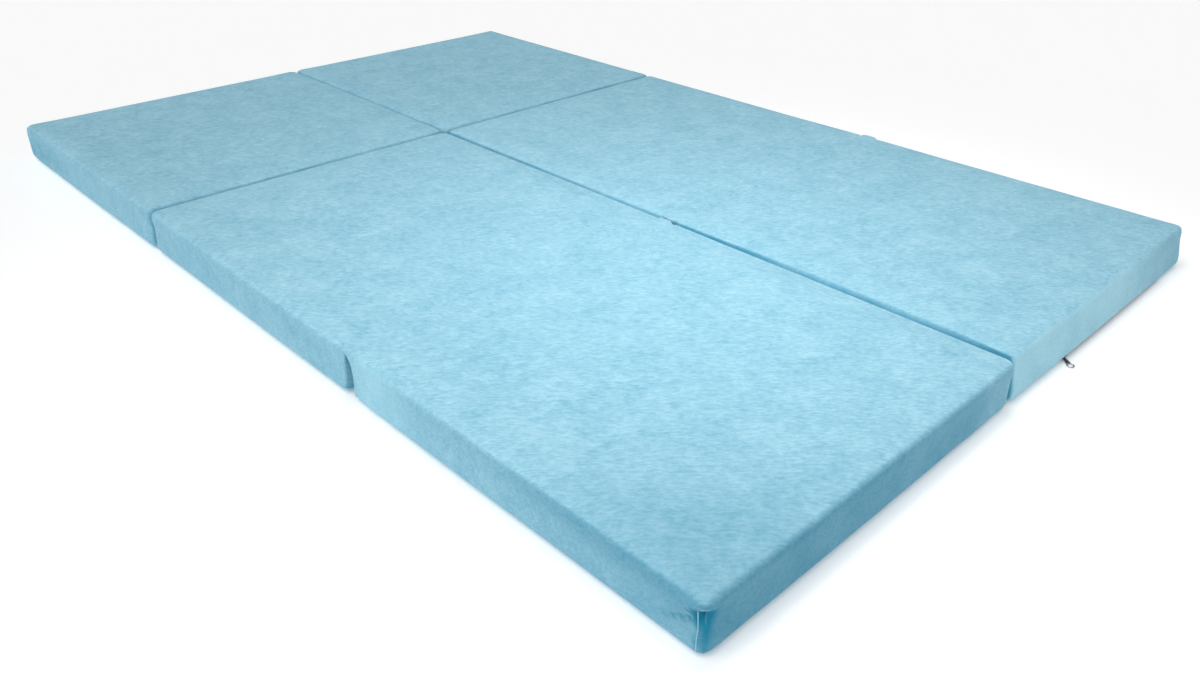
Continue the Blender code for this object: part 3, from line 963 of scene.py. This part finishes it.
# pull: an eye round the bridge, a tapered tag, and a ring through the tag's outer end
pullLook = {
    "height": 0.0049,  # of the eye over the zip's frame
    "tagStart": 0.0015,
    "droop": (0.0012, 0.0098),  # the ring's end lies this high, and this far beyond the tag
    "rounding": 0.0005,
    "eye": (0.00130, 0.00045),
    "eyeStretch": 3,  # along the eye's own axis
    "ring": (0.0050, 0.00110),
    "ringAt": 0.0043,  # beyond the tag's end
}
pullCentre = sliderPlace @ Vector((0, 0, pullLook["height"]))
reach = zipLook["tagLength"] + pullLook["tagStart"]
restHeight, ringEnd = pullLook["droop"]
droop = math.asin((pullCentre.z - restHeight) / (reach + ringEnd))
pullPlace = (Matrix.Translation(pullCentre)
             @ Matrix.Rotation(math.radians(zipLook["swing"]), 4, "Z")
             @ Matrix.Rotation(droop, 4, "X"))
tag = addBox((-0.5, -0.5, -0.5), (0.5, 0.5, 0.5))
points = readPoints(tag)
points[:, 0] *= np.where(points[:, 1] < 0, zipLook["tagWide"], zipLook["tagNarrow"])
points[:, 1] = np.where(points[:, 1] < 0, -reach, -pullLook["tagStart"])
points[:, 2] *= zipLook["tagThick"]
writePoints(tag, points)
roundEdges(tag, pullLook["rounding"], 3)
deselectAll()
bpy.ops.mesh.primitive_torus_add(major_radius=pullLook["eye"][0], minor_radius=pullLook["eye"][1],
                                 major_segments=20, minor_segments=8,
                                 rotation=(0, math.radians(90), 0))
eye = bpy.context.object
eye.scale = (1, 1, pullLook["eyeStretch"])
applyPlace()
finishPiece(joinAll([tag, eye]), "zipPull", pullPlace, blackEnamel, "pull", ["zip_pull"])
deselectAll()
bpy.ops.mesh.primitive_torus_add(major_radius=pullLook["ring"][0], minor_radius=pullLook["ring"][1],
                                 major_segments=40, minor_segments=10,
                                 location=(0, -reach - pullLook["ringAt"], 0))
ring = bpy.context.object
applyAll(ring)
finishPiece(ring, "zipRing", pullPlace, nickelPlate, "pull", ["zip_ring"])

for node in ("zip_tape_upper", "zip_tape_lower"):
    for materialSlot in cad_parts[node].material_slots:
        materialSlot.material = zipTapeCloth
print("zip made")

# corded seams up the mat's four outer corners, each laid on its cover a little round the corner
seamLook = {
    "radius": 0.0007,
    "sunk": 0.0001,
    "angle": 12,  # degrees round the corner
    "low": 0.006,
    "belowTop": 0.004,
    "underHollow": 0.058,  # the near left one ends below the hollow
    "steps": 22,
    "smoothing": 6,
}
for block in ("near_left", "near_right", "far_left", "far_right"):
    row, column = block.split("_")
    kind = "coverNearMiddle" if row == "near" else "coverFar"
    cover = bpy.data.objects[kind + column.capitalize()]
    sideX = -1 if column == "left" else 1
    sideY = -1 if row == "near" else 1
    cornerX = matLow.x if sideX < 0 else matHigh.x
    cornerY = matLow.y if sideY < 0 else matHigh.y
    radius = coverShape["outerCorner"]
    angle = math.radians(seamLook["angle"])
    top = seamLook["underHollow"] if block == "near_left" else height - seamLook["belowTop"]
    line = []
    for z in np.linspace(seamLook["low"], top, seamLook["steps"]):
        guess = Vector((cornerX - sideX * radius + sideX * radius * math.cos(angle),
                        cornerY - sideY * radius + sideY * radius * math.sin(angle), z))
        place, normal = cover.closest_point_on_mesh(guess)[1:3]
        line.append(place + normal * (seamLook["radius"] * 0.3 - seamLook["sunk"]))
    for turn in range(seamLook["smoothing"]):
        inside = [(a + 2 * b + c) / 4 for a, b, c in zip(line, line[1:], line[2:])]
        line = [line[0]] + inside + [line[-1]]
    name = f"cornerSeam{row.capitalize()}{column.capitalize()}"
    finishPiece(addWire(name, line, seamLook["radius"]), name, Matrix.Identity(4), velour, block,
                [])
print("seams made")

studio = {
    "white": "#FBFBFB",
    "whiteTint": "#FDFDFD",
    "floorSize": 60,
    "floorDrop": 0.0005,
    "floorGlow": 0.16,  # white acrylic with a little light behind it, which thins the shadows
    "worldStrength": 0.26,
    "backdropRadius": 29,
    "backdropHeight": 3.2,
    "backdropGlow": 0.55,
    "sunPower": 1.9,  # the ceiling softbox, as good as everywhere
    "sunAngle": 55,
    "sunFrom": (-0.45, 0.0, 1.0),
    "keyPower": 2.6,  # a nearer softbox over the middle, with a grid that narrows its beam
    "keyPlace": (-0.20, -0.52, 1.6),
    "keyAim": (-0.18, -0.50, 0.0),
    "keySize": (0.6, 0.6),
    "keySpread": 80,
}


# names the piece last added, gives it a white that glows, and stages it
def stageWhite(name, finish, glow):
    obj = bpy.context.object
    obj.name = name
    obj.data.materials.append(makePlain(finish, studio["white"], studio["whiteTint"], 0.02,
                                        Roughness=0.9, Emission_Color=(1, 1, 1, 1),
                                        Emission_Strength=glow))


def addLight(name, kind, place, aim, power):
    light = bpy.data.lights.new(name, kind)
    light.energy = power
    obj = bpy.data.objects.new(name, light)
    bpy.context.collection.objects.link(obj)
    obj.location = place
    obj.rotation_euler = (Vector(aim) - Vector(place)).to_track_quat("-Z", "Y").to_euler()
    return light


bpy.ops.mesh.primitive_plane_add(size=studio["floorSize"], location=(0, 0, -studio["floorDrop"]))
stageWhite("studioFloor", "litAcrylicFloor", studio["floorGlow"])
# a low bright backdrop all round, far off, so that level views end in white as well
bpy.ops.mesh.primitive_cylinder_add(vertices=96, radius=studio["backdropRadius"],
                                    depth=studio["backdropHeight"], end_fill_type="NOTHING",
                                    location=(0, 0, studio["backdropHeight"] / 2))
stageWhite("studioBackdrop", "litBackdropCloth", studio["backdropGlow"])
world = bpy.data.worlds.new("studio")
bpy.context.scene.world = world
world.use_nodes = True
world.node_tree.nodes["Background"].inputs["Color"].default_value = fromHex("#FFFFFF")
world.node_tree.nodes["Background"].inputs["Strength"].default_value = studio["worldStrength"]
ceiling = addLight("ceilingSoftbox", "SUN", studio["sunFrom"], (0, 0, 0), studio["sunPower"])
ceiling.angle = math.radians(studio["sunAngle"])
key = addLight("keySoftbox", "AREA", studio["keyPlace"], studio["keyAim"], studio["keyPower"])
key.shape = "RECTANGLE"
key.size, key.size_y = studio["keySize"]
key.spread = math.radians(studio["keySpread"])
bpy.context.scene.view_settings.view_transform = "Standard"

view = {
    "focal": 979.5,  # the focal length where the frame is frameWidth wide
    "frameWidth": 1200,
    "sensor": 36,  # millimetres
    "pitch": 30.71,
    "yaw": 44.41,
    "roll": 0.56,
    "place": (-1.1954, -1.3818, 0.7732),
}
cameraData = bpy.data.cameras.new("camera")
cameraData.sensor_width = view["sensor"]
cameraData.lens = view["focal"] / view["frameWidth"] * view["sensor"]
camera = bpy.data.objects.new("camera", cameraData)
bpy.context.collection.objects.link(camera)
camera.matrix_world = (
    Matrix.Translation(view["place"])
    @ Matrix.Rotation(math.radians(-view["yaw"]), 4, "Z")
    @ Matrix.Rotation(math.radians(90 - view["pitch"]), 4, "X")
    @ Matrix.Rotation(math.radians(view["roll"]), 4, "Z")
)
bpy.context.scene.camera = camera
